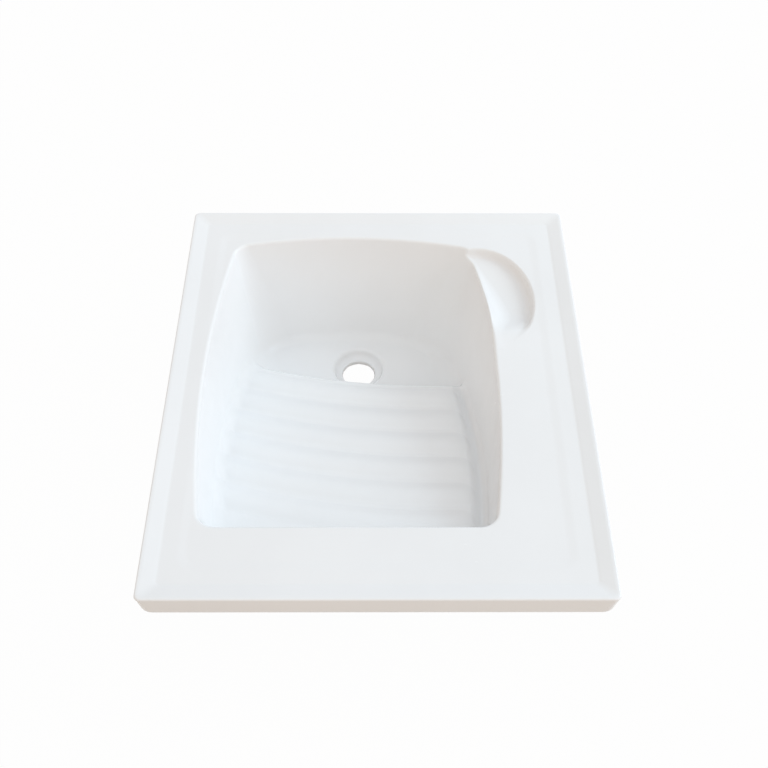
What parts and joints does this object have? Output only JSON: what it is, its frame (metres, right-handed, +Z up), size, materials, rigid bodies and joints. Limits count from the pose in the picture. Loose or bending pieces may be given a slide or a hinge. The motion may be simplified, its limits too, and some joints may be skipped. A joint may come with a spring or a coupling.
{
  "type": "laundry sink",
  "caption": "White drop-in laundry sink with a moulded ribbed washboard, a crescent soap dish and an open drain seat, with swinging worktop clamps under the rim.",
  "frame": {"origin": "plan centre of the rim, in the plane of the rim's foot, which rests on the worktop", "axes": "+Z up, out of the bowl; +Y to the back of the sink, where the drain is; +X to the soap dish side"},
  "size_m": [0.5, 0.6, 0.1815],
  "materials": {
    "gelcoat": "gloss",
    "plywood": "raw",
    "foam": "matte",
    "brass": "satin",
    "zinc_steel": "satin"
  },
  "bodies": {
    "sink": {"basin": "gelcoat", "drain_pad": "plywood", "rim_seal": "foam", "stiffener_front": "plywood", "stiffener_rear": "plywood", "stiffener_left": "plywood", "stiffener_right": "plywood", "insert_left_front": "brass", "stud_left_front": "zinc_steel", "insert_left_middle": "brass", "stud_left_middle": "zinc_steel", "insert_left_rear": "brass", "stud_left_rear": "zinc_steel", "insert_right_front": "brass", "stud_right_front": "zinc_steel", "insert_right_middle": "brass", "stud_right_middle": "zinc_steel", "insert_right_rear": "brass", "stud_right_rear": "zinc_steel"},
    "clamp_left_front": {"washer_left_front": "zinc_steel"},
    "claw_body_left_front": {"claw_left_front": "zinc_steel"},
    "nut_body_left_front": {"wing_nut_left_front": "zinc_steel"},
    "clamp_left_middle": {"washer_left_middle": "zinc_steel"},
    "claw_body_left_middle": {"claw_left_middle": "zinc_steel"},
    "nut_body_left_middle": {"wing_nut_left_middle": "zinc_steel"},
    "clamp_left_rear": {"washer_left_rear": "zinc_steel"},
    "claw_body_left_rear": {"claw_left_rear": "zinc_steel"},
    "nut_body_left_rear": {"wing_nut_left_rear": "zinc_steel"},
    "clamp_right_front": {"washer_right_front": "zinc_steel"},
    "claw_body_right_front": {"claw_right_front": "zinc_steel"},
    "nut_body_right_front": {"wing_nut_right_front": "zinc_steel"},
    "clamp_right_middle": {"washer_right_middle": "zinc_steel"},
    "claw_body_right_middle": {"claw_right_middle": "zinc_steel"},
    "nut_body_right_middle": {"wing_nut_right_middle": "zinc_steel"},
    "clamp_right_rear": {"washer_right_rear": "zinc_steel"},
    "claw_body_right_rear": {"claw_right_rear": "zinc_steel"},
    "nut_body_right_rear": {"wing_nut_right_rear": "zinc_steel"}
  },
  "joints": [
    {"name": "clamp_lift_left_front", "type": "slide", "parent": "sink", "child": "clamp_left_front", "axis": [0, 0, 1], "range_m": [-0.018, 0.019]},
    {"name": "nut_spin_left_front", "type": "hinge", "parent": "clamp_left_front", "child": "nut_body_left_front", "pos_m": [-0.2295, -0.18, -0.055], "axis": [0, 0, 1], "range_deg": [-6470, 6830]},
    {"name": "claw_swing_left_front", "type": "hinge", "parent": "clamp_left_front", "child": "claw_body_left_front", "pos_m": [-0.2295, -0.18, -0.044], "axis": [0, 0, 1], "range_deg": [0, 90]},
    {"name": "clamp_lift_left_middle", "type": "slide", "parent": "sink", "child": "clamp_left_middle", "axis": [0, 0, 1], "range_m": [-0.018, 0.019]},
    {"name": "nut_spin_left_middle", "type": "hinge", "parent": "clamp_left_middle", "child": "nut_body_left_middle", "pos_m": [-0.2295, 0, -0.055], "axis": [0, 0, 1], "range_deg": [-6470, 6830]},
    {"name": "claw_swing_left_middle", "type": "hinge", "parent": "clamp_left_middle", "child": "claw_body_left_middle", "pos_m": [-0.2295, 0, -0.044], "axis": [0, 0, 1], "range_deg": [0, 90]},
    {"name": "clamp_lift_left_rear", "type": "slide", "parent": "sink", "child": "clamp_left_rear", "axis": [0, 0, 1], "range_m": [-0.018, 0.019]},
    {"name": "nut_spin_left_rear", "type": "hinge", "parent": "clamp_left_rear", "child": "nut_body_left_rear", "pos_m": [-0.2295, 0.18, -0.055], "axis": [0, 0, 1], "range_deg": [-6470, 6830]},
    {"name": "claw_swing_left_rear", "type": "hinge", "parent": "clamp_left_rear", "child": "claw_body_left_rear", "pos_m": [-0.2295, 0.18, -0.044], "axis": [0, 0, 1], "range_deg": [0, 90]},
    {"name": "clamp_lift_right_front", "type": "slide", "parent": "sink", "child": "clamp_right_front", "axis": [0, 0, 1], "range_m": [-0.018, 0.019]},
    {"name": "nut_spin_right_front", "type": "hinge", "parent": "clamp_right_front", "child": "nut_body_right_front", "pos_m": [0.2295, -0.18, -0.055], "axis": [0, 0, 1], "range_deg": [-6470, 6830]},
    {"name": "claw_swing_right_front", "type": "hinge", "parent": "clamp_right_front", "child": "claw_body_right_front", "pos_m": [0.2295, -0.18, -0.044], "axis": [0, 0, 1], "range_deg": [-90, 0]},
    {"name": "clamp_lift_right_middle", "type": "slide", "parent": "sink", "child": "clamp_right_middle", "axis": [0, 0, 1], "range_m": [-0.018, 0.019]},
    {"name": "nut_spin_right_middle", "type": "hinge", "parent": "clamp_right_middle", "child": "nut_body_right_middle", "pos_m": [0.2295, 0, -0.055], "axis": [0, 0, 1], "range_deg": [-6470, 6830]},
    {"name": "claw_swing_right_middle", "type": "hinge", "parent": "clamp_right_middle", "child": "claw_body_right_middle", "pos_m": [0.2295, 0, -0.044], "axis": [0, 0, 1], "range_deg": [-90, 0]},
    {"name": "clamp_lift_right_rear", "type": "slide", "parent": "sink", "child": "clamp_right_rear", "axis": [0, 0, 1], "range_m": [-0.018, 0.019]},
    {"name": "nut_spin_right_rear", "type": "hinge", "parent": "clamp_right_rear", "child": "nut_body_right_rear", "pos_m": [0.2295, 0.18, -0.055], "axis": [0, 0, 1], "range_deg": [-6470, 6830]},
    {"name": "claw_swing_right_rear", "type": "hinge", "parent": "clamp_right_rear", "child": "claw_body_right_rear", "pos_m": [0.2295, 0.18, -0.044], "axis": [0, 0, 1], "range_deg": [-90, 0]}
  ],
  "couplings": [
    {"joint": "clamp_lift_left_front", "follows": "nut_spin_left_front", "m_per_rad": 0.00015915},
    {"joint": "clamp_lift_left_middle", "follows": "nut_spin_left_middle", "m_per_rad": 0.00015915},
    {"joint": "clamp_lift_left_rear", "follows": "nut_spin_left_rear", "m_per_rad": 0.00015915},
    {"joint": "clamp_lift_right_front", "follows": "nut_spin_right_front", "m_per_rad": 0.00015915},
    {"joint": "clamp_lift_right_middle", "follows": "nut_spin_right_middle", "m_per_rad": 0.00015915},
    {"joint": "clamp_lift_right_rear", "follows": "nut_spin_right_rear", "m_per_rad": 0.00015915}
  ]
}
